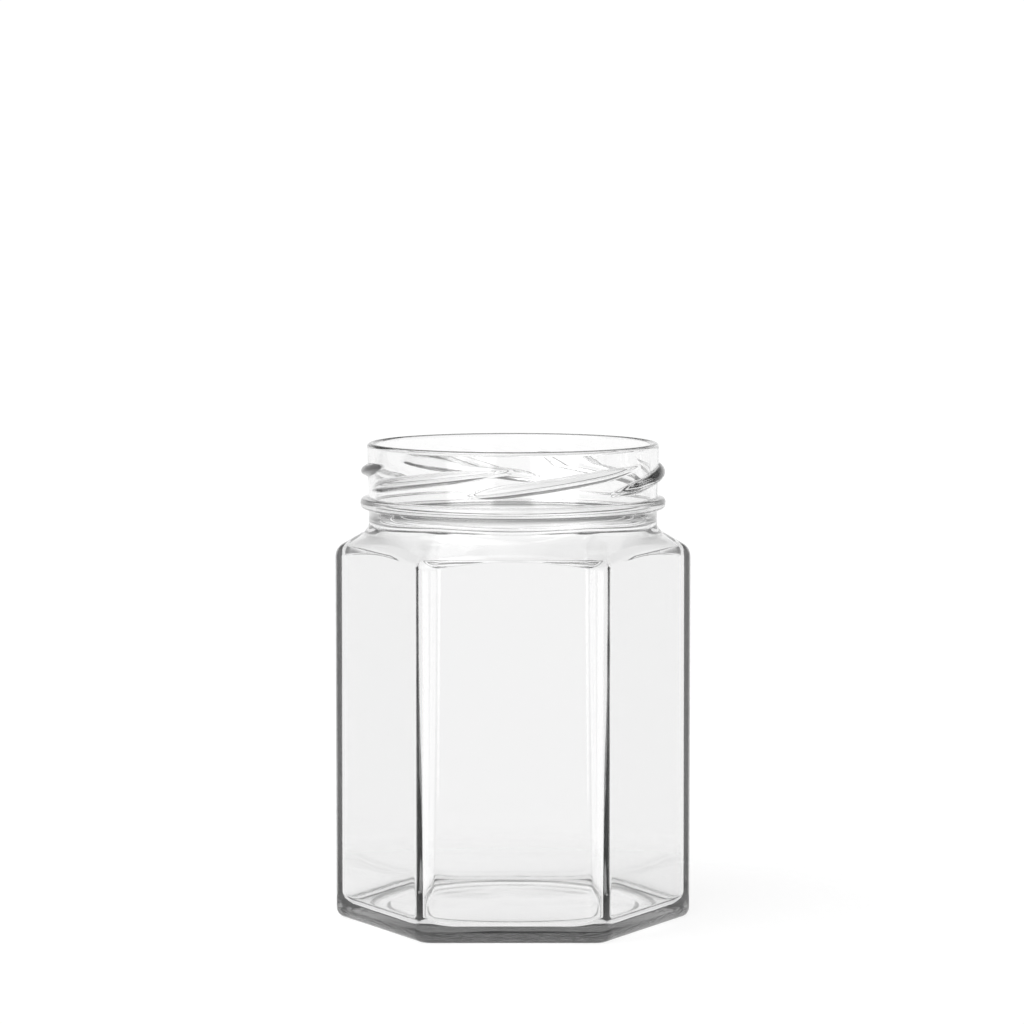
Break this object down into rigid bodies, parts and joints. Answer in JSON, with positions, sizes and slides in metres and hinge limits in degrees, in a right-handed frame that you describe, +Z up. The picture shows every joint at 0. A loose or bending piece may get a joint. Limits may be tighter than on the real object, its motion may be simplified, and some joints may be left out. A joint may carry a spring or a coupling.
{
  "type": "hexagonal glass jar",
  "caption": "Clear glass food jar with a hexagonal body, a sloping shoulder and a round wide mouth with slanting lugs for a twist-off cap.",
  "frame": {"origin": "centre of the base, on the surface that the jar stands on", "axes": "+Z up along the axis of the body and the mouth; -Y out of the front flat face; X through two opposite corners"},
  "size_m": [0.0728, 0.0642, 0.0983],
  "materials": {
    "glass": "clear, glossy moulded flint glass"
  },
  "bodies": {
    "root": {"jar": "glass"}
  },
  "joints": []
}
